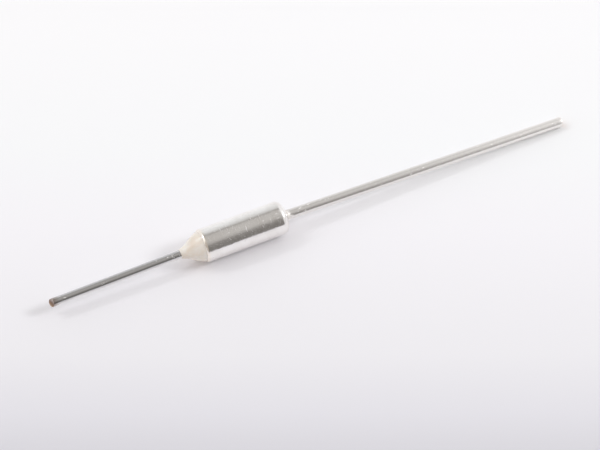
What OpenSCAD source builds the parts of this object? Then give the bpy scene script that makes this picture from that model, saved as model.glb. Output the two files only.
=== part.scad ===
// Axial thermal fuse of the pellet type: a one-shot thermal cut-off for about 10 A.
// The current runs from the case lead through the case wall and the star contact to the isolated lead.
// When the pellet melts, the main spring relaxes and the trip spring pushes the star contact away.
// All pieces share one axis, X. The long case lead points to +X, the isolated lead to -X.
// The origin is the centre of the case barrel. The fuse lies on a table at z = -case_d / 2.
// The long lead sags from its collar until its tip rests on that table too. The isolated lead sags less.

/* [Case] */
// Outside diameter of the drawn metal case
case_d = 4.0; // [3.7:0.1:6]
// Length of the case from its closed end to the rolled rim
case_len = 10.5; // [9.9:0.1:14]
// Thickness of the side wall round the spring chamber
case_wall = 0.35; // [0.3:0.01:0.4]
// Thickness of the closed end
end_wall = 0.6; // [0.45:0.05:0.9]
// Radius of the rounded edge at the closed end
end_round = 0.8; // [0.2:0.05:0.9]
// Thickness of the thinner wall at the mouth, which is rolled over the bushing
mouth_wall = 0.25; // [0.15:0.01:0.28]
// Outside radius of the rolled rim
rim_roll = 0.35; // [0.3:0.01:0.45]
// Width of the flat lip inside the roll
rim_lip = 0.2; // [0.1:0.01:0.3]

/* [Case lead] */
// Diameter of the long lead that is riveted into the closed end
case_lead_d = 1.2; // [0.8:0.05:1.4]
// Free length of that lead from the closed end to its tip
case_lead_len = 36; // [20:0.5:60]
// Diameter of the collar upset on the lead, where it is widest, against the closed end
collar_d = 2.0; // [1.6:0.05:2.2]
// Length over which the collar tapers to the lead
collar_len = 0.5; // [0.3:0.05:1]
// How much wider than the lead the rivet head in the countersink is, per side
rivet_flare = 0.3; // [0.15:0.05:0.4]

/* [Isolated lead] */
// Diameter of the lead that the bushing insulates
isolated_lead_d = 1.0; // [0.7:0.05:1.1]
// Free length of that lead from the rolled rim to its tip
isolated_lead_len = 18.7; // [8:0.1:60]
// How much smaller its contact head is than the bushing nose, per side
head_inset = 0.08; // [0.04:0.01:0.12]
// Thickness of its contact head
contact_head_len = 0.4; // [0.2:0.05:0.5]
// Angle at which it sags away from the case axis
isolated_lead_sag = 0.9; // [0.6:0.1:3]
// Depth inside the resin's tip at which it turns down
turn_depth = 0.6; // [0.4:0.05:0.8]
// Slant of its sheared tip, where 0 is square
tip_slant = 20; // [5:1:50]
// Angle round the lead of the tip's longest side, where 0 is level and 90 is straight up
tip_turn = -55; // [-180:5:180]

/* [Pellet and discs] */
// Length of the pressed thermal pellet
pellet_len = 2.4; // [1.5:0.1:2.6]
// Thickness of the pressure disc on the pellet
pellet_disc_t = 0.2; // [0.1:0.05:0.3]
// Thickness of the pressure disc behind the star contact
contact_disc_t = 0.2; // [0.1:0.05:0.3]

/* [Star contact] */
// Sheet thickness of the star contact
star_t = 0.12; // [0.08:0.01:0.16]
// How far the fingers flare out from the flat base to the case, per side
flare_out = 0.33; // [0.2:0.01:0.36]
// Number of spring fingers
finger_count = 8; // [6:1:10]
// Width of the slots between the fingers
finger_slot = 0.34; // [0.2:0.02:0.4]
// Axial length over which the fingers flare out to the case
flare_len = 0.8; // [0.5:0.05:1]
// Axial length over which the fingers lie against the case
land_len = 0.2; // [0.1:0.05:0.3]

/* [Main spring] */
// Wire diameter of the strong barrel spring
main_wire_d = 0.34; // [0.25:0.01:0.38]
// Number of turns
main_turns = 4.5; // [3.5:0.25:4.75]
// Play between its widest turn and the case, per side
main_play = 0.08; // [0.04:0.01:0.15]
// How much narrower the end turns are than the middle one, per side
main_barrel = 0.2; // [0:0.01:0.3]

/* [Trip spring] */
// Wire diameter of the weak spring round the bushing nose
trip_wire_d = 0.18; // [0.12:0.01:0.2]
// Number of turns
trip_turns = 4.5; // [3:0.25:5]
// Play between its turns and the bushing nose, per side
trip_play = 0.12; // [0.04:0.01:0.16]

/* [Bushing] */
// Length of the nose that backs the contact head
nose_len = 1.2; // [1:0.05:1.4]
// Thickness of the nose round the lead
nose_wall = 0.26; // [0.2:0.01:0.32]
// Length of the bushing behind its nose
bushing_len = 2.6; // [2:0.05:2.8]
// Length of the wider rim of the bushing, between the shoulder and the lip
flange_len = 1.5; // [0.8:0.05:1.8]

/* [Sealing resin] */
// Length of the resin cone beyond the rolled rim
resin_len = 2.6; // [2:0.1:5]
// How far inside the case's full radius the resin's edge stops on the rolled rim
resin_margin = 0.14; // [0.06:0.01:0.25]
// Thickness of the resin where it thins out on the lead
resin_feather = 0.05; // [0.02:0.01:0.2]
// How strongly the side of the cone swells at the rim and hollows at the lead
resin_swell = 0.28; // [0:0.01:0.6]

/* [Fits] */
// Radial play of the ceramic bushing in the case
bushing_play = 0.02; // [0.01:0.01:0.04]
// Radial play of the lead in the bushing
lead_play = 0.04; // [0.02:0.01:0.08]
// Radial play of the pellet and the discs in the case
slide_play = 0.04; // [0.02:0.01:0.08]

/* [Hidden] */
$fn = 64;

// Radii
case_r = case_d / 2;
bore_r = case_r - case_wall;
mouth_r = case_r - mouth_wall;
roll_r = case_r - rim_roll;
lip_r = roll_r - rim_lip;
case_lead_r = case_lead_d / 2;
isolated_lead_r = isolated_lead_d / 2;
collar_r = collar_d / 2;
rivet_r = case_lead_r + rivet_flare;
slide_r = bore_r - slide_play;
body_r = bore_r - bushing_play;
flange_r = mouth_r - bushing_play;
bushing_hole_r = isolated_lead_r + lead_play;
nose_r = bushing_hole_r + nose_wall;
contact_head_r = nose_r - head_inset;
star_base_r = bore_r - flare_out;
main_mid_r = bore_r - main_play - main_wire_d / 2;
main_end_r = main_mid_r - main_barrel;
trip_r = nose_r + trip_play + trip_wire_d / 2;
resin_base_r = case_r - resin_margin;

// Small edge breaks on turned, pressed and sheared pieces
pellet_edge = 0.2;
disc_edge = 0.04;
ceramic_edge = 0.12;
head_edge = 0.08;
collar_edge = 0.1;
tip_edge = 0.06;

// Stations along X, from the closed end inwards
end_x = case_len / 2;
floor_x = end_x - end_wall;
pellet_x = floor_x - pellet_len;
pellet_disc_x = pellet_x - pellet_disc_t;

// Stations along X, from the rim inwards
rim_x = -case_len / 2;
lip_x = rim_x + mouth_wall;
shoulder_x = lip_x + flange_len;
body_x = lip_x + bushing_len;
nose_x = body_x + nose_len;
contact_x = nose_x + contact_head_len;
star_x = contact_x + star_t;
contact_disc_x = star_x + contact_disc_t;

// The main spring takes up what is left between the discs, the trip spring the room round the nose
main_spring_len = pellet_disc_x - contact_disc_x;
trip_spring_len = contact_x - body_x;

// The resin wets the rolled rim up to the angle at which the roll reaches the cone's base radius
resin_angle = acos((resin_base_r - roll_r) / rim_roll);
resin_x = rim_x + rim_roll - rim_roll * sin(resin_angle);
resin_tip_x = rim_x - resin_len;
resin_tip_r = isolated_lead_r + resin_feather;

// Radius at which the collar's taper meets the lead, just outside it
collar_foot_r = case_lead_r + 0.03;

// The long lead turns down inside its collar, by the angle that brings its tip to the table
case_turn_x = end_x + collar_len / 2;
case_run = case_lead_len - collar_len / 2;
case_lead_sag = asin(case_r / norm([case_run, case_lead_r])) - atan2(case_lead_r, case_run);

// The isolated lead turns down inside the resin, where a slight bulge marks its bend
isolated_turn_x = resin_tip_x + turn_depth;
isolated_run = isolated_lead_len - resin_len + turn_depth;
turn_bulge = 0.02;

// Curled-in ends of the star's fingers
curl_in = 0.12;
curl_len = 0.15;

// Fineness of the round parts
arc_steps = 6;
swell_steps = 20;
ring_sides = 8;
rings_per_turn = 24;

// Share of the end turns' wire radius that is left below the wire's centre when the ends are ground flat
ground_share = 0.6;
// Length of an end turn that lies closed against the ground end, in turns, and its rise per wire diameter
closed_turns = 0.75;
closed_rise = 1.02;

// Colours
silver = [0.80, 0.79, 0.77];
tinned = [0.74, 0.73, 0.72];
cream = [0.93, 0.91, 0.85];
pellet_grey = [0.62, 0.66, 0.60];
steel = [0.60, 0.61, 0.63];
contact_silver = [0.87, 0.86, 0.84];
alumina = [0.96, 0.95, 0.93];

// Points [radius, x] of an arc round [centre_r, centre_x], with angles turning from outwards to +X
function arc(centre_r, centre_x, radius, from, to) =
    [for (i = [0:arc_steps])
        let (a = from + (to - from) * i / arc_steps)
        [centre_r + radius * cos(a), centre_x + radius * sin(a)]];

// A body of revolution round the X axis, from its outline in [radius, x]
module turned(outline) {
    rotate([0, 90, 0])
        rotate_extrude()
            polygon(outline);
}

// A straight wire along +X from the origin, with its edge broken at the far end
module wire(radius, length) {
    turned([[0, 0], [radius, 0], [radius, length - tip_edge], [radius - tip_edge, length], [0, length]]);
}

// A washer or plug from x0 to x1 with the same small bevel on both edges
module plug(radius, x0, x1, edge) {
    turned([
        [0, x0], [radius - edge, x0], [radius, x0 + edge],
        [radius, x1 - edge], [radius - edge, x1], [0, x1]
    ]);
}

// Places a piece that is drawn along +Z so that it runs along +X from the station x
module along_x(x) {
    translate([x, 0, 0])
        rotate([0, 90, 0])
            children();
}

// Distance of a spring's wire from the spring's axis, after so many turns
function coil_radius(turn, turns, end_r, mid_r) = end_r + (mid_r - end_r) * sin(180 * turn / turns);

// Height of a spring's wire after so many turns: closed end turns and an even pitch between them
function coil_height(turn, turns, length, wire_d) =
    let (start = ground_share * wire_d / 2, closed = closed_turns * closed_rise * wire_d)
    let (open = (length - 2 * start - 2 * closed) / (turns - 2 * closed_turns))
    turn < closed_turns ? start + turn * closed_rise * wire_d :
    turn > turns - closed_turns ? length - start - (turns - turn) * closed_rise * wire_d :
    start + closed + (turn - closed_turns) * open;

// Centre of a spring's wire after so many turns
function coil_point(turn, turns, length, wire_d, end_r, mid_r) =
    let (r = coil_radius(turn, turns, end_r, mid_r))
    [r * cos(360 * turn), r * sin(360 * turn), coil_height(turn, turns, length, wire_d)];

// A compression spring along +Z with closed end turns, ground flat at z = 0 and at its length
module coil_spring(length, wire_d, turns, end_r, mid_r) {
    rings = ceil(turns * rings_per_turn);
    step = turns / rings;
    wire_r = wire_d / 2;
    points = [for (i = [0:rings])
        let (turn = i * step)
        let (centre = coil_point(turn, turns, length, wire_d, end_r, mid_r))
        let (before = coil_point(max(turn - step, 0), turns, length, wire_d, end_r, mid_r))
        let (after = coil_point(min(turn + step, turns), turns, length, wire_d, end_r, mid_r))
        let (outward = [cos(360 * turn), sin(360 * turn), 0])
        let (upward = cross(outward, after - before) / norm(cross(outward, after - before)))
        for (k = [0:ring_sides - 1])
            let (a = 360 * (k + 0.5) / ring_sides)
            let (p = centre + wire_r * (cos(a) * outward + sin(a) * upward))
            [p.x, p.y, min(max(p.z, 0), length)]];
    sides = [for (i = [0:rings - 1], k = [0:ring_sides - 1])
        let (a = i * ring_sides + k, b = i * ring_sides + (k + 1) % ring_sides)
        for (face = [[a, a + ring_sides, b + ring_sides], [a, b + ring_sides, b]])
            face];
    last = rings * ring_sides;
    caps = [for (k = [1:ring_sides - 2])
        for (face = [[0, k, k + 1], [last, last + k + 1, last + k]])
            face];
    polyhedron(points = points, faces = concat(sides, caps), convexity = 10);
}

// Unit normal on the right-hand side of the step from p to q in an outline
function side_normal(p, q) = [q.y - p.y, p.x - q.x] / norm(q - p);

// The outline's points, each set over to that side by a sheet's thickness
function beside(path, t) =
    let (n = len(path) - 1)
    [for (i = [0:n])
        let (in = side_normal(path[max(i - 1, 0)], path[max(i, 1)]))
        let (out = side_normal(path[min(i, n - 1)], path[min(i + 1, n)]))
        path[i] + t * (in + out) / (1 + in * out)];

function reversed(path) = [for (i = [len(path) - 1:-1:0]) path[i]];

// Radius of the resin cone at a share u of its way from the rim to its tip
function resin_radius(u) =
    resin_base_r + (resin_tip_r - resin_base_r) * (u - resin_swell * sin(360 * u) / (2 * PI));

// Drawn can: countersunk rivet hole in the closed end, thinner mouth, rim rolled over the bushing
module case() {
    outside = concat(
        [[case_lead_r, end_x]],
        arc(case_r - end_round, end_x - end_round, end_round, 90, 0),
        arc(roll_r, rim_x + rim_roll, rim_roll, 0, -resin_angle),
        arc(roll_r, rim_x + rim_roll, rim_roll, -resin_angle, -90)
    );
    inside = concat(
        [[lip_r, rim_x], [lip_r, lip_x]],
        arc(roll_r, rim_x + rim_roll, rim_roll - mouth_wall, -90, 0),
        [[mouth_r, shoulder_x], [bore_r, shoulder_x], [bore_r, floor_x]],
        [[rivet_r, floor_x], [case_lead_r, floor_x + rivet_flare]]
    );
    color(silver)
        turned(concat(outside, inside));
}

// Wire with a countersunk rivet head inside the closed end and a tapered collar outside it
module case_lead() {
    collar_x = end_x + collar_len;
    color(tinned) {
        turned([
            [0, floor_x], [rivet_r, floor_x], [case_lead_r, floor_x + rivet_flare], [case_lead_r, end_x],
            [collar_r, end_x], [collar_r, end_x + collar_edge], [collar_foot_r, collar_x], [0, collar_x]
        ]);
        translate([case_turn_x, 0, 0])
            rotate([0, case_lead_sag, 0])
                wire(case_lead_r, case_run);
    }
}

// Pressed tablet that is solid until the fuse's working temperature
module thermal_pellet() {
    color(pellet_grey)
        plug(slide_r, pellet_x, floor_x, pellet_edge);
}

// Disc that spreads the main spring's force over the pellet
module pellet_disc() {
    color(steel)
        plug(slide_r, pellet_disc_x, pellet_x, disc_edge);
}

// Strong barrel spring, held compressed between the two discs
module main_spring() {
    color(steel)
        along_x(contact_disc_x)
            coil_spring(main_spring_len, main_wire_d, main_turns, main_end_r, main_mid_r);
}

// Disc that spreads the main spring's force over the star contact
module contact_disc() {
    color(steel)
        plug(slide_r, star_x, contact_disc_x, disc_edge);
}

// Sheet-metal star: a flat base on the contact head and a crown of fingers that press on the case wall
module star_contact() {
    flare_x = star_x - flare_len;
    land_x = flare_x - land_len;
    outer = [[0, star_x], [star_base_r, star_x], [bore_r, flare_x], [bore_r, land_x],
        [bore_r - curl_in, land_x - curl_len]];
    color(contact_silver)
        difference() {
            turned(concat(outer, reversed(beside(outer, star_t))));
            for (i = [0:finger_count - 1])
                rotate([360 * i / finger_count, 0, 0])
                    slot_cutter(star_x - (flare_len + land_len + curl_len));
        }
}

// Round-rooted slot between two fingers, open at their tips and cut outwards from its root
module slot_cutter(tips_x) {
    margin = 1;
    length = star_x - tips_x + 2 * margin;
    translate([tips_x - margin, 0, star_base_r]) {
        along_x(0)
            cylinder(d = finger_slot, h = length);
        translate([0, -finger_slot / 2, 0])
            cube([length, finger_slot, case_r]);
    }
}

// Weak spring round the bushing nose, between the bushing and the star's base
module trip_spring() {
    color(steel)
        along_x(body_x)
            coil_spring(trip_spring_len, trip_wire_d, trip_turns, trip_r, trip_r);
}

// Wire with a contact head that touches the star's base and is backed by the bushing nose
module isolated_lead() {
    color(tinned) {
        turned([
            [0, contact_x], [contact_head_r - head_edge, contact_x],
            [contact_head_r, contact_x - head_edge], [contact_head_r, nose_x],
            [isolated_lead_r, nose_x], [isolated_lead_r, isolated_turn_x], [0, isolated_turn_x]
        ]);
        translate([isolated_turn_x, 0, 0]) {
            sphere(isolated_lead_r + turn_bulge);
            mirror([1, 0, 0])
                rotate([0, isolated_lead_sag, 0])
                    difference() {
                        wire(isolated_lead_r, isolated_run);
                        tip_shear();
                    }
        }
    }
}

// What a slanting shear takes off the isolated lead's tip, so that one side stays longest
module tip_shear() {
    size = 6 * isolated_lead_r;
    rotate([tip_turn, 0, 0])
        translate([isolated_run, isolated_lead_r, 0])
            rotate([0, 0, -tip_slant])
                translate([0, -size, -size / 2])
                    cube([size, 2 * size, size]);
}

// Stepped ceramic bushing: a nose behind the contact head, a body in the bore, a rim held under the lip
module ceramic_bushing() {
    color(alumina)
        turned([
            [bushing_hole_r, nose_x], [nose_r - ceramic_edge, nose_x], [nose_r, nose_x - ceramic_edge],
            [nose_r, body_x], [body_r - ceramic_edge, body_x], [body_r, body_x - ceramic_edge],
            [body_r, shoulder_x], [flange_r, shoulder_x], [flange_r, lip_x + ceramic_edge],
            [flange_r - ceramic_edge, lip_x], [bushing_hole_r, lip_x]
        ]);
}

// Resin bead: fills the mouth down to the bushing, wets the rolled rim and runs out along the lead
module sealing_resin() {
    side = [for (i = [0:swell_steps])
        let (u = i / swell_steps)
        [resin_radius(u), resin_x + (resin_tip_x - resin_x) * u]];
    seat = arc(roll_r, rim_x + rim_roll, rim_roll, -90, -resin_angle);
    color(cream)
        difference() {
            turned(concat(
                [[0, lip_x], [lip_r, lip_x], [lip_r, rim_x]],
                seat,
                [for (i = [1:swell_steps]) side[i]],
                [[0, resin_tip_x]]
            ));
            isolated_lead();
        }
}

case();
case_lead();
thermal_pellet();
pellet_disc();
main_spring();
contact_disc();
star_contact();
trip_spring();
isolated_lead();
ceramic_bushing();
sealing_resin();
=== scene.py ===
# %% [markdown]
# # An axial thermal fuse
# A thermal fuse is a one-shot switch. When its surroundings get too hot, a pellet inside it melts
# and two springs pull its contact open. From outside it is three simple things: a bright
# silver-plated can, a cream cone of resin over the can's open end, and a tinned wire out of each
# end.
#
# They are made of loose flat triangles, though, and a mirror-bright can shows every facet. So the
# four pieces that can be seen get finer meshes of the same size here, and the seven inside keep
# their solids and get materials.
# %% Load the frame
import bpy
import numpy as np
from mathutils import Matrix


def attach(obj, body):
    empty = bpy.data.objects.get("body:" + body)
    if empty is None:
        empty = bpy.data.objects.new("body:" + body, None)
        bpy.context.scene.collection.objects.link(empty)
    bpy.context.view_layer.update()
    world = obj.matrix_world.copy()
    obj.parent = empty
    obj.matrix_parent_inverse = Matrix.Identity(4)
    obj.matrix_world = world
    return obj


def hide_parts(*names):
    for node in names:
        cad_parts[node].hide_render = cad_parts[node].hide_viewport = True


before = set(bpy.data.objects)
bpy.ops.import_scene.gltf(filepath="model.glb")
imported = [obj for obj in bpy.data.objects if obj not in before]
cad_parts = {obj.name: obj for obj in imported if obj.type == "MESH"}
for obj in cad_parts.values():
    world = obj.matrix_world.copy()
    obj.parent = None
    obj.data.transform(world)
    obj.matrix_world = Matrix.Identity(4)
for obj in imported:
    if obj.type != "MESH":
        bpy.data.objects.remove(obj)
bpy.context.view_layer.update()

MM = 0.001
print("nodes:", ", ".join(sorted(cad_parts)))

# %% [markdown]
# ## One way to make every round piece
# All four pieces are turned: an outline spun round an axis. A Spin or Screw modifier could do it,
# but the two wires also bend a little, and then a profile carried along a path is simpler. Here
# the outline gives a radius for each station, the path gives a centre and a direction for each
# station, and whole arrays of points come out at once.
# %% Outlines
def arc(centre, radius, start, stop, steps):
    """Points centre + radius (cos a, sin a), with a from start to stop in degrees."""
    a = np.radians(np.linspace(start, stop, steps + 1))[:, None]
    return np.array(centre) + radius * np.hstack([np.cos(a), np.sin(a)])


def filled_in(outline, spacing):
    """The outline with each step cut into equal shorter ones, none longer than the spacing."""
    outline = np.array(outline, float)
    steps = np.diff(outline, axis=0)
    counts = np.maximum(1, np.ceil(np.linalg.norm(steps, axis=1) / spacing)).astype(int)
    start = np.repeat(np.arange(len(steps)), counts)
    first = np.cumsum(counts) - counts
    share = (np.arange(counts.sum()) - first[start]) / counts[start]
    return np.vstack([outline[start] + steps[start] * share[:, None], outline[-1:]])


print("a quarter circle:", arc((0, 0), 1, 0, 90, steps=3).round(3).tolist())


# %% [markdown]
# A wire's path is a straight line that turns down by a small angle at one station. The angle
# grows smoothly over a short stretch, and adding up the steps along it gives the centres.
# %% Paths
TURN_LENGTH, FINE_STEPS = 0.25, 6000


def sagging_path(stations, turn_at, angle, towards):
    """Centre and unit direction at each station along X. Past turn_at, going towards +1 or -1,
    the path falls away at the angle in degrees. The slope goes from 0 to it as a smooth step,
    3 u^2 - 2 u^3, and the drop is the running sum of tan(slope) times the step."""
    fine = np.linspace(stations.min(), stations.max(), FINE_STEPS + 1)
    u = np.clip(towards * (fine - turn_at) / TURN_LENGTH + 0.5, 0, 1)
    slope = np.tan(np.radians(angle) * (3 - 2 * u) * u * u)
    walk = slope[::towards]
    drop = np.concatenate([[0], np.cumsum((walk[1:] + walk[:-1]) / 2)]) * (fine[1] - fine[0])
    z = -np.interp(stations, fine, drop[::towards])
    tilt = np.arctan(np.interp(stations, fine, slope))
    centre = np.stack([stations, 0 * z, z], axis=-1)
    direction = np.stack([np.cos(tilt), 0 * tilt, -towards * np.sin(tilt)], axis=-1)
    return centre, direction


def ring_angles(columns):
    """Equal steps of angle round a ring. They start on the underside, so that the seam lies
    where it is never seen."""
    return -np.pi / 2 + 2 * np.pi * np.arange(columns) / columns


def swept(radius, centre, direction, columns):
    """Rings round a path: centre + radius (cos a * Y + sin a * up), where up stands square on
    the path and Y, and a is the angle round the ring."""
    a = ring_angles(columns)
    across = np.array([0.0, 1.0, 0.0])
    up = np.cross(direction, across)
    radius = np.asarray(radius, float).reshape(len(centre), -1)
    radius = np.broadcast_to(radius, (len(centre), columns))
    spoke = np.cos(a)[None, :, None] * across + np.sin(a)[None, :, None] * up[:, None, :]
    return centre[:, None, :] + radius[..., None] * spoke


sample, _ = sagging_path(np.array([0.0, 10.0, 20.0]), 10.0, 2.0, 1)
print("a path that turns down by 2 degrees after 10 mm:", sample.round(3).tolist())


# %% [markdown]
# ## From a grid of points to a mesh
# Neighbouring points of the grid make a square face. The columns close into a ring. The rows
# either close too, as on the can, which is a tube with an inside, or end in a single point, as on
# a wire.
# %% Faces of a grid
def grid_faces(rows, columns, rows_close, poles):
    """Index of each grid point's vertex, and the faces between them. With poles, the first and
    last row are one vertex each, and the squares there are triangles."""
    index = np.arange(rows * columns).reshape(rows, columns)
    if poles:
        index = index - (columns - 1)
        index[0], index[-1] = 0, (rows - 2) * columns + 1
    ring = np.hstack([index, index[:, :1]])
    ring = np.vstack([ring, ring[:1]]) if rows_close else ring
    squares = np.stack([ring[:-1, :-1], ring[1:, :-1], ring[1:, 1:], ring[:-1, 1:]], axis=-1)
    if not poles:
        return index, squares.reshape(-1, 4).tolist()
    first = squares[0][:, [0, 1, 2]].tolist()
    last = squares[-1][:, [0, 1, 3]].tolist()
    return index, first + squares[1:-1].reshape(-1, 4).tolist() + last


print("a grid of 4 rows and 8 columns with poles:", len(grid_faces(4, 8, False, True)[1]), "faces")

# %% [markdown]
# A mesh whose faces point inwards looks right in the viewport and wrong everywhere else. Blender
# can recalculate its normals. Here the enclosed volume is worked out instead, because it tells
# more: it is positive only when all the faces point outwards, and it can be set against the CAD
# solid's volume.
# %% Closed pieces
SHARP_ANGLE = 40


def enclosed(points, faces):
    """Volume inside a closed mesh, the sum of a . (b x c) / 6 over its triangles."""
    triangles = np.array([[f[0], f[i], f[i + 1]] for f in faces for i in range(1, len(f) - 1)])
    a, b, c = (points[triangles[:, k]] for k in range(3))
    return np.einsum("ij,ij->i", a, np.cross(b, c)).sum() / 6


def solid(name, points, rows_close=False, poles=False, mark=None):
    """A closed mesh object from a grid of points in millimetres, shaded smooth except across
    edges sharper than SHARP_ANGLE in degrees. mark is a number for each point, kept as the
    attribute "bare"."""
    rows, columns = points.shape[:2]
    index, faces = grid_faces(rows, columns, rows_close, poles)
    vertices = np.zeros((index.max() + 1, 3))
    vertices[index.ravel()] = points.reshape(-1, 3)
    volume = enclosed(vertices, faces)
    if volume < 0:
        faces = [f[::-1] for f in faces]
    mesh = bpy.data.meshes.new(name)
    mesh.from_pydata((vertices * MM).tolist(), [], faces)
    mesh.shade_smooth()
    mesh.set_sharp_from_angle(angle=np.radians(SHARP_ANGLE))
    if mark is not None:
        values = np.zeros(len(vertices), np.float32)
        values[index.ravel()] = np.asarray(mark, np.float32).ravel()
        mesh.attributes.new("bare", "FLOAT", "POINT").data.foreach_set("value", values)
    piece = bpy.data.objects.new(name, mesh)
    bpy.context.scene.collection.objects.link(piece)
    print(f"{name}: {len(faces)} faces, {abs(volume):.1f} mm3")
    return piece


def stands_for(piece, node):
    """The piece takes a CAD node's place: the node is hidden and the piece rides on the one body.
    """
    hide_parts(node)
    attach(piece, "root")


# %% [markdown]
# ## The can
# The real can is drawn from brass sheet and plated with silver. At the right its closed end has a
# rounded edge and a hole for the riveted wire. At the left its wall is thinner and rolled in over
# a ceramic plug. The outline goes once round the wall, outside and inside, and closes on itself,
# so the mesh has the real wall thickness. A drawn can is never quite true. Its radius wanders by
# a few thousandths of a millimetre, always inwards, and that is enough to make the reflections on
# it waver as they do on thin metal.
# %% The can
CAN_R, CAN_END, CAN_RIM = 1.995, 5.25, -5.25
EDGE_R, ROLL, LIP_R = 0.8, 0.35, 1.45
ROLL_R = CAN_R - ROLL
MOUTH_WALL = 0.25
MOUTH = CAN_RIM + MOUTH_WALL
BORE_R, SHOULDER, FLOOR = 1.65, -3.5, 4.65
LONG_R, RIVET_R = 0.6, 0.9
CAN_COLUMNS, CAN_SPACING, CAN_WANDER = 160, 0.2, 0.006


def wander(x, a, size):
    """Slow unevenness from 0 to -size: a few waves of unlike lengths along x and round the
    angle a, summed."""
    waves = (np.sin(0.9 * x + 2 * a + 0.4) + np.sin(2.1 * x - 3 * a + 1.9)
             + 0.6 * np.sin(3.7 * x + 5 * a + 3.1))
    return -size * (0.5 + waves / 5.2)


can_outline = filled_in(np.vstack([
    [[LONG_R, CAN_END]],
    arc((CAN_R - EDGE_R, CAN_END - EDGE_R), EDGE_R, 90, 0, steps=16),
    arc((ROLL_R, CAN_RIM + ROLL), ROLL, 0, -90, steps=16),
    [[LIP_R, CAN_RIM], [LIP_R, MOUTH]],
    arc((ROLL_R, CAN_RIM + ROLL), ROLL - MOUTH_WALL, -90, 0, steps=6),
    [[CAN_R - MOUTH_WALL, SHOULDER], [BORE_R, SHOULDER], [BORE_R, FLOOR], [RIVET_R, FLOOR],
     [LONG_R, FLOOR + RIVET_R - LONG_R], [LONG_R, CAN_END]],
]), CAN_SPACING)[:-1]
radii, stations = np.repeat(can_outline[:, :1], CAN_COLUMNS, 1), can_outline[:, 1]
outside = radii > CAN_R - 0.6 * ROLL
radii = radii + outside * wander(stations[:, None], ring_angles(CAN_COLUMNS), CAN_WANDER)
centre = np.stack([stations, 0 * stations, 0 * stations], -1)
straight = np.tile([1.0, 0, 0], (len(stations), 1))
can = solid("can", swept(radii, centre, straight, CAN_COLUMNS), rows_close=True)
stands_for(can, "case")

# %% [markdown]
# ## The long wire
# This one is tinned copper, 1.2 mm thick. A rivet head holds it inside the can's end. Outside
# sits a collar that tapers off with a hollow side. Both are upset from the wire itself. The wire
# runs on at a small angle until its tip touches the table. Its cut face is bare copper, and an
# attribute marks the points of that face.
# %% The long wire
COLLAR_R, COLLAR_LEN, TIP_EDGE = 1.0, 0.5, 0.06
WIRE_COLUMNS, WIRE_SPACING = 64, 0.35
LONG_TURN, LONG_RUN, LONG_SAG = CAN_END + COLLAR_LEN / 2, 35.749, 2.2451
LONG_TIP = LONG_TURN + LONG_RUN * np.cos(np.radians(LONG_SAG))

long_outline = filled_in(np.vstack([
    [[0, FLOOR], [RIVET_R, FLOOR], [LONG_R, FLOOR + RIVET_R - LONG_R], [LONG_R, CAN_END],
     [COLLAR_R, CAN_END]],
    arc((COLLAR_R, CAN_END + COLLAR_LEN), COLLAR_R - LONG_R, 270, 180, steps=8),
    arc((LONG_R - TIP_EDGE, LONG_TIP - TIP_EDGE), TIP_EDGE, 0, 90, steps=5),
    [[LONG_R - 2 * TIP_EDGE, LONG_TIP], [0, LONG_TIP]],
]), WIRE_SPACING)
centre, direction = sagging_path(long_outline[:, 1], LONG_TURN, LONG_SAG, 1)
points = swept(long_outline[:, 0], centre, direction, WIRE_COLUMNS)
bare = (long_outline[:, 1] > LONG_TIP - 0.2 * TIP_EDGE)[:, None] * np.ones(WIRE_COLUMNS)
long_wire = solid("long_wire", points, poles=True, mark=bare)
stands_for(long_wire, "case_lead")

# %% [markdown]
# ## The short wire
# The insulated wire is thinner. Inside it ends in a flat contact head, and outside it was cut
# with a slanting shear, so one side of the tip is longer than the other. The slant is made by
# sliding each point of the last rings along the wire by a share of how far it lies to the side,
# which leaves a true plane across the wire.
# %% The short wire
SHORT_R, HEAD_R, HEAD_EDGE = 0.5, 0.72, 0.08
CONTACT, NOSE = -0.8, -1.2
RESIN_TIP = -7.85
SHORT_TURN, SHORT_RUN, SHORT_SAG = RESIN_TIP + 0.6, 16.7, 0.9
SHORT_TIP = SHORT_TURN - SHORT_RUN * np.cos(np.radians(SHORT_SAG))
SHORT_TIP_Z = -SHORT_RUN * np.sin(np.radians(SHORT_SAG))
SLANT, SLANT_REACH = np.tan(np.radians(20)), 1.2
LONGER_SIDE = np.array([0, -0.577, 0.817])

short_outline = filled_in(np.vstack([
    [[0, CONTACT]],
    arc((HEAD_R - HEAD_EDGE, CONTACT - HEAD_EDGE), HEAD_EDGE, 90, 0, steps=4),
    [[HEAD_R, NOSE], [SHORT_R, NOSE], [SHORT_R, SHORT_TIP + SLANT_REACH]],
    arc((SHORT_R - TIP_EDGE, SHORT_TIP + TIP_EDGE), TIP_EDGE, 0, -90, steps=5),
    [[SHORT_R - 2 * TIP_EDGE, SHORT_TIP], [0, SHORT_TIP]],
]), WIRE_SPACING)
centre, direction = sagging_path(short_outline[:, 1], SHORT_TURN, SHORT_SAG, -1)
points = swept(short_outline[:, 0], centre, direction, WIRE_COLUMNS)
side = SHORT_R + (points - centre[:, None, :]) @ LONGER_SIDE
near_tip = (SHORT_TIP + SLANT_REACH - short_outline[:, 1]) / SLANT_REACH
near_tip = np.clip(near_tip, 0, 1)[:, None]
points = points + (near_tip * side * SLANT)[..., None] * direction[:, None, :]
bare = (short_outline[:, 1] < SHORT_TIP + 0.2 * TIP_EDGE)[:, None] * np.ones(WIRE_COLUMNS)
short_wire = solid("short_wire", points, poles=True, mark=bare)
stands_for(short_wire, "isolated_lead")

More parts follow.
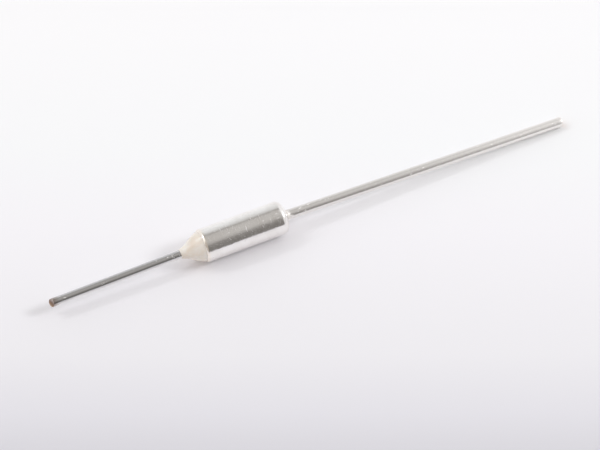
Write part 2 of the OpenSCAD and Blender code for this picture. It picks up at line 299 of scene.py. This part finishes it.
# %% [markdown]
# ## The resin cone
# Epoxy is poured round the short wire and sets as it runs: it swells where it wets the rolled rim
# and hollows out towards the wire. Its side is a straight slope plus one sine wave. By hand no
# two are alike, so its edge on the rim and its side wander a little, in shorter waves than the
# can's.
# %% The resin cone
RESIN_BASE_R, RESIN_FEATHER_R, RESIN_SWELL = CAN_R - 0.14, SHORT_R + 0.05, 0.28
RESIN_COLUMNS, RESIN_SPACING, RESIN_WANDER, CONE_STEPS = 128, 0.15, 0.03, 48
wetting = np.degrees(np.arccos((RESIN_BASE_R - ROLL_R) / ROLL))
resin_start = CAN_RIM + ROLL - ROLL * np.sin(np.radians(wetting))
u = np.linspace(0, 1, CONE_STEPS + 1)[:, None]
fall = u - RESIN_SWELL * np.sin(2 * np.pi * u) / (2 * np.pi)
cone_side = np.hstack([RESIN_BASE_R + (RESIN_FEATHER_R - RESIN_BASE_R) * fall,
                       resin_start + (RESIN_TIP - resin_start) * u])
resin_outline = filled_in(np.vstack([
    [[SHORT_R, RESIN_TIP], [SHORT_R, MOUTH], [LIP_R, MOUTH], [LIP_R, CAN_RIM]],
    arc((ROLL_R, CAN_RIM + ROLL), ROLL, -90, -wetting, steps=10),
    cone_side[1:],
    [[SHORT_R, RESIN_TIP]],
]), RESIN_SPACING)[:-1]
radii, stations = resin_outline[:, :1], resin_outline[:, 1]
centre, direction = sagging_path(stations, SHORT_TURN, SHORT_SAG, -1)
rim_point = np.argmax(radii > ROLL_R - 0.01)
outside = np.arange(len(radii))[:, None] > rim_point
radii = radii + outside * wander(1.6 * stations[:, None], ring_angles(RESIN_COLUMNS) + 1.1,
                                 RESIN_WANDER)
resin_cone = solid("resin_cone", swept(radii, centre, direction, RESIN_COLUMNS), rows_close=True)
stands_for(resin_cone, "sealing_resin")

# %% [markdown]
# ## Writing shader maths as expressions
# A procedural material is mostly arithmetic on patterns. Written node by node it can't be read,
# so a small class wraps a node's output and gives it +, -, * and the rest: an expression on such
# values adds the Math nodes itself. Colours never go through Math nodes, which would turn them
# grey. They go through Mix.
# %% Values
def display(red, green, blue):
    """Linear colour of three display values from 0 to 255, by the sRGB curve."""
    v = np.array([red, green, blue]) / 255
    return (*np.where(v <= 0.04045, v / 12.92, ((v + 0.055) / 1.055) ** 2.4).tolist(), 1.0)


class Value:
    """A node's output. Arithmetic on it adds Math nodes to its tree."""

    def __init__(self, recipe, socket):
        self.recipe, self.socket = recipe, socket

    def maths(self, operation, *operands):
        return self.recipe.node("Math", {"operation": operation}, dict(enumerate(operands)))

    def __add__(self, other):
        return self.maths("ADD", self, other)

    def __sub__(self, other):
        return self.maths("SUBTRACT", self, other)

    def __rsub__(self, other):
        return self.maths("SUBTRACT", other, self)

    def __mul__(self, other):
        return self.maths("MULTIPLY", self, other)

    def __truediv__(self, other):
        return self.maths("DIVIDE", self, other)

    __radd__, __rmul__ = __add__, __mul__

    def above(self, low, high):
        """0 below low, 1 above high, and a smooth step between them."""
        return self.recipe.node("MapRange", {"interpolation_type": "SMOOTHSTEP"},
                                {"Value": self, "From Min": low, "From Max": high})


print("the display value 128 is", round(display(128, 128, 128)[0], 3), "as a linear colour")

# %% [markdown]
# A recipe is the node tree of one material or of the world. One method of it adds any node, and
# the others are what nearly every finish here is made of: places, noise, blends and relief.
# %% Recipes
GRAIN_ROUGHNESS = 0.55
MIX_SHARE, MIX_FIRST, MIX_SECOND, MIX_RESULT = 0, 6, 7, 2  # the Mix node's sockets for colours


class Recipe:
    """The node tree of one material or world."""

    def __init__(self, owner):
        owner.use_nodes = True
        self.owner, self.tree = owner, owner.node_tree

    def node(self, kind, settings=None, values=None, output=0):
        """Adds a node: first its settings, with a ramp's stops among them, and then its sockets'
        values or links."""
        made = self.tree.nodes.new("ShaderNode" + kind)
        for name, setting in (settings or {}).items():
            if name == "stops":
                while len(made.color_ramp.elements) < len(setting):
                    made.color_ramp.elements.new(0.5)
                for element, (place, colour) in zip(made.color_ramp.elements, setting):
                    element.position, element.color = place, colour
            else:
                setattr(made, name, setting)
        for socket, value in (values or {}).items():
            if isinstance(value, Value):
                self.tree.links.new(value.socket, made.inputs[socket])
            else:
                made.inputs[socket].default_value = value
        return Value(self, made.outputs[output])

    def place(self, stretch, turn=0.0):
        """Object coordinates in millimetres, turned about Y by an angle in degrees and stretched
        along each axis."""
        at = self.node("TexCoord", output="Object")
        turned = self.node("Mapping", values={"Vector": at, "Rotation": (0, np.radians(turn), 0)})
        return self.node("VectorMath", {"operation": "MULTIPLY"},
                         {0: turned, 1: [s / MM for s in stretch]})

    def split(self, vector):
        """The three components of a vector."""
        parts = self.node("SeparateXYZ", values={"Vector": vector})
        return [Value(self, parts.socket.node.outputs[k]) for k in "XYZ"]

    def noise(self, stretch, detail, turn=0.0):
        """A noise pattern from 0 to 1, with as many grains a millimetre along each axis as
        stretch says."""
        return self.node("TexNoise", values={"Vector": self.place(stretch, turn), "Scale": 1.0,
                                             "Detail": detail, "Roughness": GRAIN_ROUGHNESS})

    def blend(self, share, first, second):
        """The first colour where share is 0 and the second where it is 1."""
        return self.node("Mix", {"data_type": "RGBA"},
                         {MIX_SHARE: share, MIX_FIRST: first, MIX_SECOND: second}, MIX_RESULT)

    def relief(self, height, depth):
        """Normals of a surface that stands up by height times a depth in millimetres."""
        return self.node("Bump", values={"Height": height, "Distance": depth * MM, "Strength": 1.0})


# %% [markdown]
# What is the same all over a piece is set on the shader's own sockets, where it costs nothing and
# every other program can read it. Only what changes over the surface is linked to nodes.
# %% Materials
def material(name, uniform, varying):
    """A Principled material: uniform numbers are set on its sockets, and the sockets that change
    over the surface are linked to what varying(recipe) returns for them."""
    recipe = Recipe(bpy.data.materials.new(name))
    shader = recipe.tree.nodes["Principled BSDF"]
    for socket, value in uniform.items():
        shader.inputs[socket].default_value = value
    for socket, value in varying(recipe).items():
        recipe.tree.links.new(value.socket, shader.inputs[socket])
    print(f"{name}: {len(recipe.tree.nodes)} nodes")
    return recipe.owner


def dress(piece, finish):
    """Puts one material on a piece, in place of what it had."""
    piece.data.materials.clear()
    piece.data.materials.append(finish)


# %% [markdown]
# ## Silver plate on the can
# Silver is a mirror with a slightly warm tint. What tells plate from chrome is its wear:
# hairlines that run round the can where it was handled, short nicks, and a faint haze. These are
# noise that is stretched round the can and cut off high, so that only short thin streaks remain.
# They are rougher than the plate, so they catch the light where the rest reflects the dark. A few
# larger marks have a place each: a bruise in the middle, a scuff near the closed end. The thin
# wall also ripples by a few microns, which makes the edges of the reflections ragged, and the
# plate is warmer in tint next to the resin.
# %% Silver plate
MARKS = [  # station in mm, angle in degrees from the zenith to the front, two half sizes, strength
    (0.02, 33, 0.10, 0.40, 1.0), (-2.08, 24, 0.12, 0.09, 0.9), (2.18, 26, 0.13, 0.09, 0.9),
    (3.05, 32, 0.11, 0.55, 0.4), (3.92, 19, 0.26, 0.16, 0.5), (4.00, 35, 0.22, 0.12, 0.5),
    (-2.73, 10, 0.14, 0.12, 0.5), (-0.45, 54, 0.10, 0.06, 0.5), (-3.6, 140, 0.2, 0.3, 0.6),
    (1.4, 215, 0.12, 0.5, 0.8), (-1.1, 290, 0.2, 0.2, 0.6)]


def marks_on(x, girth, ragged):
    """0 off the marks and up to each one's strength on it. A mark is an ellipse, across^2 +
    along^2 < 1, whose outline the ragged pattern frays."""
    total = 0.0
    for station, angle, wide, long, strength in MARKS:
        across, along = (x - station) / wide, (girth - CAN_R * np.radians(angle)) / long
        outside = (across * across + along * along + ragged * 2.4).above(1.1, 2.1)
        total = outside * -strength + strength + total
    return total


def silver_plate(recipe):
    """Two tints blended by haze, then yellow near the resin, then pale wear. The roughness grows
    with haze and wear. Girth is the way round the can in mm, from the zenith to the front."""
    x, y, z = recipe.split(recipe.place((1, 1, 1)))
    turn = recipe.node("Math", {"operation": "ARCTAN2"}, {0: y * -1.0, 1: z})
    girth = recipe.node("Math", {"operation": "WRAP"},
                        {0: turn * CAN_R, 1: 2 * np.pi * CAN_R, 2: 0.0})
    haze = recipe.noise((0.5, 0.5, 0.5), detail=4)
    ripple = recipe.noise((1.3, 1.9, 1.9), detail=4)
    hairlines = recipe.noise((26, 0.9, 0.9), detail=2).above(0.58, 0.70)
    nicks = recipe.noise((6, 1.8, 1.8), detail=3).above(0.65, 0.71)
    pits = recipe.noise((8, 8, 8), detail=2).above(0.67, 0.74)
    marks = marks_on(x, girth, recipe.noise((7, 7, 7), detail=2))
    wear = 0.3 * hairlines + 0.6 * nicks + 0.7 * pits + marks
    wear = recipe.node("Clamp", values={"Value": wear})
    # A warmer tint towards the resin end.
    warm_near_resin = (x * -1.0 + 0.6 * haze).above(4.9, 5.5)
    plate = recipe.blend(haze.above(0.35, 0.7), display(249, 247, 245), display(241, 238, 235))
    plate = recipe.blend(warm_near_resin, plate, display(248, 240, 230))
    return {
        "Base Color": recipe.blend(wear, plate, display(252, 250, 247)),
        "Roughness": 0.10 + 0.06 * haze + 0.34 * wear,
        "Normal": recipe.relief(ripple + 0.1 * haze - 0.06 * wear, depth=0.020),
    }


dress(can, material("silver_plate", {"Metallic": 1.0}, silver_plate))

# %% [markdown]
# ## Tinned copper wire
# Wire is pulled through a die, which leaves fine lines along it, and the tin coat is uneven
# between them. Its upper side takes a darker tint, which is painted shade for the dimmer room it
# mirrors there, and near the can, where the wires are gripped, small bright flecks show. One
# function makes both wires from their own tints and shines, so they match as two wires of one
# make do.
# %% Tinned wire
def tinned_wire(shaded_tint, plain_tint, sag, shine, old, cut_colour):
    """The recipe for one wire, from two tints: the first for its upper side, where the darker tint
    is painted shade, and the second for its underside.
    sag is the angle in degrees at which it falls away along X, shine(x) its roughness, and
    old(x, blotches) a share that grows where the coat is dirty. cut_colour(recipe, z, tear) is
    the tint of the cut face."""
    def recipe_for(recipe):
        x, _, z = recipe.split(recipe.place((1, 1, 1)))
        lines = recipe.noise((0.12, 16, 16), detail=3, turn=-sag)
        blotches = recipe.noise((0.8, 2.2, 2.2), detail=4, turn=-sag)
        height = z + x * float(np.tan(np.radians(sag)))
        rarer = (x * x).above(75, 140) * -0.07  # from 8.7 mm to 11.8 mm from the can's middle
        flecks = (recipe.noise((2, 5, 5), detail=2, turn=-sag) + rarer).above(0.60, 0.68)
        cut = recipe.node("Attribute", {"attribute_name": "bare"}, output="Fac").above(0.3, 0.9)
        tear = recipe.noise((6, 3, 14), detail=4)
        # Painted shade: the upper side takes the darker first tint, and on the long wire it fades
        # towards the tip.
        top_shade = (height + 0.25 * (blotches - 0.5)).above(0.0, 0.3)
        skin = recipe.blend(top_shade * (1.0 - 0.7 * x.above(14, 38)), plain_tint, shaded_tint)
        skin = recipe.blend(flecks * 0.8, skin, display(252, 250, 248))
        skin = recipe.blend(old(x, blotches), skin, display(142, 122, 108))
        return {
            "Base Color": recipe.blend(cut, skin, cut_colour(recipe, z, tear)),
            "Roughness": shine(x) + 0.10 * blotches + 0.40 * flecks + 0.2 * cut,
            "Normal": recipe.relief(
                0.7 * lines + 0.8 * blotches - 0.5 * flecks + cut * tear * 3, depth=0.006),
        }
    return recipe_for


# %% [markdown]
# Where a wire was cut, the copper shows: the attribute that was set on the cut faces picks it
# out. The long wire was sawn square. The short one was sheared, so its face runs from dragged tin
# at the top through brown to tan at the bottom.
# %% Cut ends
def torn_copper(recipe, z, tear):
    """A sheared face, by its height from 0 at the bottom to 1 at the top: tan, brown, and grey
    with dragged tin."""
    height = (z - SHORT_TIP_Z) / (2 * SHORT_R) + 0.5 + (tear - 0.5) * 0.5
    return recipe.node("ValToRGB", {"stops": [
        (0.05, display(204, 182, 160)), (0.35, display(150, 122, 100)),
        (0.6, display(132, 110, 96)), (0.9, display(180, 168, 162))]}, {"Fac": height})


def sawn_copper(recipe, z, tear):
    """A square cut: plain copper in two tints."""
    return recipe.blend(tear.above(0.3, 0.7), display(226, 190, 160), display(190, 140, 108))


# %% [markdown]
# The long wire is dull where its collar was squeezed and bright past it. The short wire has
# deeper painted shade on its upper side all along, and is dirty at its tip.
# %% The two wires
def long_shine(x):
    """Roughness of the long wire: dull on the collar, bright past it, duller towards the tip."""
    return 0.85 - 0.69 * x.above(5.4, 6.0) + 0.05 * x.above(14, 38)


def tip_dirt(x, blotches):
    """A share that grows to 0.8 over the last millimetre of the short wire."""
    return (blotches * 0.8 - x).above(-0.9 - SHORT_TIP, 0.4 - SHORT_TIP) * 0.8


# The first tint of each wire, on its upper side, is painted shade; the short wire's is much darker.
dress(long_wire, material("bright_tin", {"Metallic": 1.0}, tinned_wire(
    shaded_tint=display(234, 231, 228), plain_tint=display(248, 245, 242), sag=LONG_SAG, shine=long_shine,
    old=lambda x, blotches: blotches.above(0.72, 0.8) * 0.4, cut_colour=sawn_copper)))
dress(short_wire, material("tin_painted_shade", {"Metallic": 1.0}, tinned_wire(
    shaded_tint=display(205, 204, 204), plain_tint=display(250, 248, 247), sag=-SHORT_SAG,
    shine=lambda x: 0.13, old=tip_dirt, cut_colour=torn_copper)))

# %% [markdown]
# ## Cream epoxy
# Cast epoxy is satin and nearly opaque. It lets a little light in, which softens its shaded side,
# and it has faint flow marks and a few pinholes.
# %% Cream epoxy
def cream_epoxy(recipe):
    """Two tints blended by a broad flow pattern, with darker and rougher pinholes."""
    flow = recipe.noise((0.9, 1.3, 1.3), detail=4)
    pinholes = recipe.noise((11, 11, 11), detail=1).above(0.70, 0.78)
    colour = recipe.blend(flow.above(0.3, 0.7), display(248, 242, 234), display(240, 228, 214))
    return {
        "Base Color": recipe.blend(pinholes * 0.35, colour, display(190, 178, 158)),
        "Roughness": 0.14 + 0.06 * flow + 0.15 * pinholes,
        "Normal": recipe.relief(0.6 * flow - 0.5 * pinholes, depth=0.02),
    }


dress(resin_cone, material("cream_epoxy", {
    "IOR": 1.52, "Subsurface Weight": 0.2, "Subsurface Scale": 0.5 * MM,
    "Subsurface Radius": (1.0, 0.85, 0.7)}, cream_epoxy))

# %% [markdown]
# ## The pieces inside
# Nothing of these shows until the can is opened, but each is a real part with its own finish: a
# pressed pellet that melts at the fuse's temperature, two stamped steel discs, two wound springs,
# the silver-plated star that carries the current, and a white alumina bushing. One function makes
# them all from a few numbers: two tints, the size of the grain along each axis, how rough they
# are and how deep the grain goes.
# %% Inner finishes
def plain_finish(light, dark, grain, rough, depth):
    """A recipe: two tints blended by a broad pattern, and a fine grain in its roughness and
    relief, whose depth is in mm."""
    def recipe_for(recipe):
        broad = recipe.noise((0.9, 0.9, 0.9), detail=4)
        fine = recipe.noise(grain, detail=3)
        specks = fine.above(0.55, 0.75)
        return {
            "Base Color": recipe.blend(broad.above(0.35, 0.65) * 0.6 + specks * 0.4, light, dark),
            "Roughness": rough + 0.15 * fine,
            "Normal": recipe.relief(fine + 0.6 * broad, depth),
        }
    return recipe_for


INNER = [
    (["thermal_pellet"], "pressed_compound", {},
     plain_finish(display(176, 186, 168), display(150, 160, 142), (9, 9, 9), 0.6, 0.03)),
    (["pellet_disc", "contact_disc"], "stamped_steel", {"Metallic": 1.0},
     plain_finish(display(188, 190, 192), display(160, 162, 165), (12, 2, 12), 0.25, 0.004)),
    (["main_spring", "trip_spring"], "spring_wire", {"Metallic": 1.0},
     plain_finish(display(168, 170, 174), display(136, 138, 143), (14, 14, 14), 0.25, 0.004)),
    (["star_contact"], "contact_plate", {"Metallic": 1.0},
     plain_finish(display(238, 233, 226), display(222, 214, 203), (6, 6, 6), 0.14, 0.003)),
    (["ceramic_bushing"], "white_alumina", {"IOR": 1.7},
     plain_finish(display(242, 240, 235), display(232, 229, 222), (16, 16, 16), 0.5, 0.01)),
]
for nodes, name, uniform, varying in INNER:
    finish = material(name, uniform, varying)
    for node in nodes:
        dress(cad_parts[node], finish)

# %% [markdown]
# ## The table
# The fuse lies on a wide sheet. The sheet reaches far beyond the view, because the can's lower
# half mirrors it as far as the horizon. A single square would do for that. A disc of rings is as
# wide on every side, and its faces are small only where the fuse lies.
# %% The table
TABLE_R, TABLE_Z = 900.0, -2.0
RINGS, SIDES = 23, 96


def table_points(rings, sides):
    """The rings of a disc round the origin, from the inmost out. Ring k of n has the radius
    TABLE_R (k / n)^2, so that they lie close together in the middle."""
    r = TABLE_R * np.linspace(0, 1, rings + 1)[1:, None] ** 2
    a = 2 * np.pi * np.arange(sides) / sides
    return np.stack([r * np.cos(a), r * np.sin(a), np.full((rings, sides), TABLE_Z)], -1)


_, squares = grid_faces(RINGS, SIDES, rows_close=False, poles=False)
mesh = bpy.data.meshes.new("table")
mesh.from_pydata((table_points(RINGS, SIDES).reshape(-1, 3) * MM).tolist(), [],
                 [list(range(SIDES))] + squares)
table = bpy.data.objects.new("table", mesh)
bpy.context.scene.collection.objects.link(table)
print(f"table: {len(mesh.polygons)} faces, {2 * TABLE_R:.0f} mm across")

# %% [markdown]
# The sheet is matt and lit evenly, but it darkens gently towards the viewer. That darkening is
# painted shade, written as a ramp of tints along the table, so the near part can be pale grey
# while the far part is almost white. More light on one side could do it too, but it would change
# the look of the fuse.
# %% The matt sheet
VIEW_AZ = -25.1
away = (-np.sin(np.radians(VIEW_AZ)), np.cos(np.radians(VIEW_AZ)), 0)
NEAR_EDGE, FAR_EDGE = -40.0, 60.0
# Painted shade: these tints darken towards the viewer.
SHEET_SHADE_TINTS = [  # distance away from the viewer in mm, and three display values
    (-38, 201, 200, 206), (-31, 213, 212, 218), (-24, 227, 226, 232), (-16, 237, 236, 240),
    (-9, 240, 239, 243), (2, 245, 244, 248), (14, 247, 248, 250), (31, 250, 250, 252)]


def along(mm):
    """Place on the ramp, from 0 to 1, of a distance in millimetres away from the viewer."""
    return (mm - NEAR_EDGE) / (FAR_EDGE - NEAR_EDGE)


def matt_sheet(recipe):
    """A ramp of tints, painted shade, by the distance along the table, which is the dot product of
    the place and the direction away from the viewer."""
    at = recipe.node("TexCoord", output="Object")
    far = recipe.node("VectorMath", {"operation": "DOT_PRODUCT"}, {0: at, 1: away}, output="Value")
    stops = [(along(mm), display(*tint)) for mm, *tint in SHEET_SHADE_TINTS]
    return {"Base Color": recipe.node("ValToRGB", {"stops": stops}, {"Fac": along(far / MM)})}


dress(table, material("matt_sheet", {"Roughness": 0.9, "Specular IOR Level": 0.1}, matt_sheet))

# %% [markdown]
# ## The room
# A mirror-bright can looks like what is around it, so the world has to be a room and not one
# grey. The can mirrors a pale wall behind, a duller ceiling and the dim room in front, which
# makes the dark band above its bright lower edge. The world paints that room by the angle round
# the can's axis: 0 is the horizon in front, 0.5 the zenith and 1 the horizon behind. Towards each
# end of the axis it turns into a ramp of its own: pale at the right, where the closed end's
# rounded edge faces, and dim in front but bright above at the left, where the resin faces. These
# two ramps hold linear colours, which may go past 1.
# %% The world
world = bpy.data.worlds.new("studio")
bpy.context.scene.world = world
room = Recipe(world)


def grey(value, warm=3):
    """Linear colour of a grey with one display value, with its red raised and its blue lowered by
    warm."""
    return display(value + warm, value, value - warm)


direction = room.node("TexCoord", output="Generated")
side, depth, height = room.split(direction)
round_axis = room.node("Math", {"operation": "ARCTAN2"}, {0: height, 1: depth * -1.0}) / np.pi
wall = room.node("ValToRGB", {"stops": [
    (0.00, grey(120)), (0.12, grey(121)), (0.22, grey(136)), (0.32, grey(178)),
    (0.40, grey(189)), (0.58, grey(187)), (0.62, grey(170)), (0.645, grey(164)),
    (0.68, grey(194, 1)), (0.76, grey(221, 0)), (0.88, grey(240, -1)), (1.00, grey(250, -1)),
]}, {"Fac": round_axis})
right = room.node("ValToRGB", {"stops": [
    (0.0, (0.80, 0.79, 0.79, 1.0)), (0.35, (0.88, 0.87, 0.88, 1.0)),
    (0.5, (1.0, 1.0, 1.0, 1.0)), (0.7, (0.90, 0.89, 0.90, 1.0)),
]}, {"Fac": round_axis})
left = room.node("ValToRGB", {"stops": [
    (0.0, (0.50, 0.46, 0.43, 1.0)), (0.38, (0.52, 0.48, 0.45, 1.0)),
    (0.47, (1.0, 0.99, 0.97, 1.0)), (0.6, (1.15, 1.15, 1.15, 1.0)),
    (0.75, (0.95, 0.95, 0.95, 1.0)), (1.0, (0.85, 0.84, 0.82, 1.0)),
]}, {"Fac": round_axis})
room_colour = room.blend(side.above(0.28, 0.50), wall, right)
room_colour = room.blend((side * -1.0).above(0.0, 0.30), room_colour, left)
backdrop = room.tree.nodes["Background"]
room.tree.links.new(room_colour.socket, backdrop.inputs["Color"])
backdrop.inputs["Strength"].default_value = 1.0
print(f"world: {len(room.tree.nodes)} nodes")

# %% [markdown]
# ## The lamps
# The world alone would give no shadows. The strongest lamp stands at the right and a little in
# front, low enough that most of the shadow it gives the wires hides behind them, and a wide weak
# one stands beside it. A strip of three at the left and behind gives the faint shadow that lies
# in front of the wires. One broad lamp softens that side. All are oval area lamps at one
# distance, given by direction and by their width as seen from the fuse.
# %% Lamps
LAMP_DISTANCE = 1.6
COOL_WHITE = (0.98, 0.99, 1.0)


def lamp(name, towards, spread, watts):
    """An oval area lamp in a direction from the fuse, aimed back at it. spread is its level and
    its upright width in degrees, and its size 2 distance tan(spread / 2)."""
    data = bpy.data.lights.new(name, "AREA")
    data.shape, data.energy, data.color = "ELLIPSE", watts, COOL_WHITE
    data.size, data.size_y = 2 * LAMP_DISTANCE * np.tan(np.radians(np.array(spread) / 2))
    made = bpy.data.objects.new(name, data)
    towards = np.array(towards) / np.linalg.norm(towards)
    made.location = (towards * LAMP_DISTANCE).tolist()
    aim = -towards
    made.rotation_euler = (np.arccos(-aim[2]), 0, np.arctan2(aim[1], aim[0]) - np.pi / 2)
    bpy.context.scene.collection.objects.link(made)
    print(f"{name}: {data.size:.2f} m wide, {watts} W, {aim.round(2).tolist()}")


lamp("lamp_right", (0.72, -0.12, 0.60), spread=(26, 20), watts=1.3)
lamp("lamp_front", (0.76, -0.30, 0.57), spread=(14, 14), watts=7.0)
for part, towards in enumerate([(-0.675, 0.39, 0.63), (-0.50, 0.43, 0.75), (-0.33, 0.47, 0.82)]):
    lamp(f"lamp_left_{part + 1}", towards, spread=(10, 10), watts=0.90)
lamp("lamp_top", (-0.30, 0.45, 0.84), spread=(50, 50), watts=0.5)

# %% [markdown]
# ## The camera
# A long lens from 400 mm away keeps each wire nearly the same thickness from end to end. The view
# is given by the point it aims at, its angle round the fuse and its height above the table in
# degrees. Every length in this cell is in millimetres.
# %% The camera
LENS, SENSOR, CAMERA_DISTANCE = 208.3, 36.0, 400.0
NEAREST, FARTHEST = 10.0, 10000.0
VIEW_EL = 52.0
TARGET = np.array([6.66, -1.254, -1.0])
az, el = np.radians(VIEW_AZ), np.radians(VIEW_EL)
back = np.array([np.sin(az) * np.cos(el), -np.cos(az) * np.cos(el), np.sin(el)])
data = bpy.data.cameras.new("camera")
data.lens, data.sensor_width, data.sensor_fit = LENS, SENSOR, "HORIZONTAL"
data.clip_start, data.clip_end = NEAREST * MM, FARTHEST * MM
camera = bpy.data.objects.new("camera", data)
camera.location = ((TARGET + CAMERA_DISTANCE * back) * MM).tolist()
camera.rotation_euler = (np.pi / 2 - el, 0, az)
bpy.context.scene.collection.objects.link(camera)
bpy.context.scene.camera = camera
bpy.context.scene.view_settings.view_transform = "Standard"
print("camera at mm:", np.round(np.array(camera.location) / MM, 1).tolist())
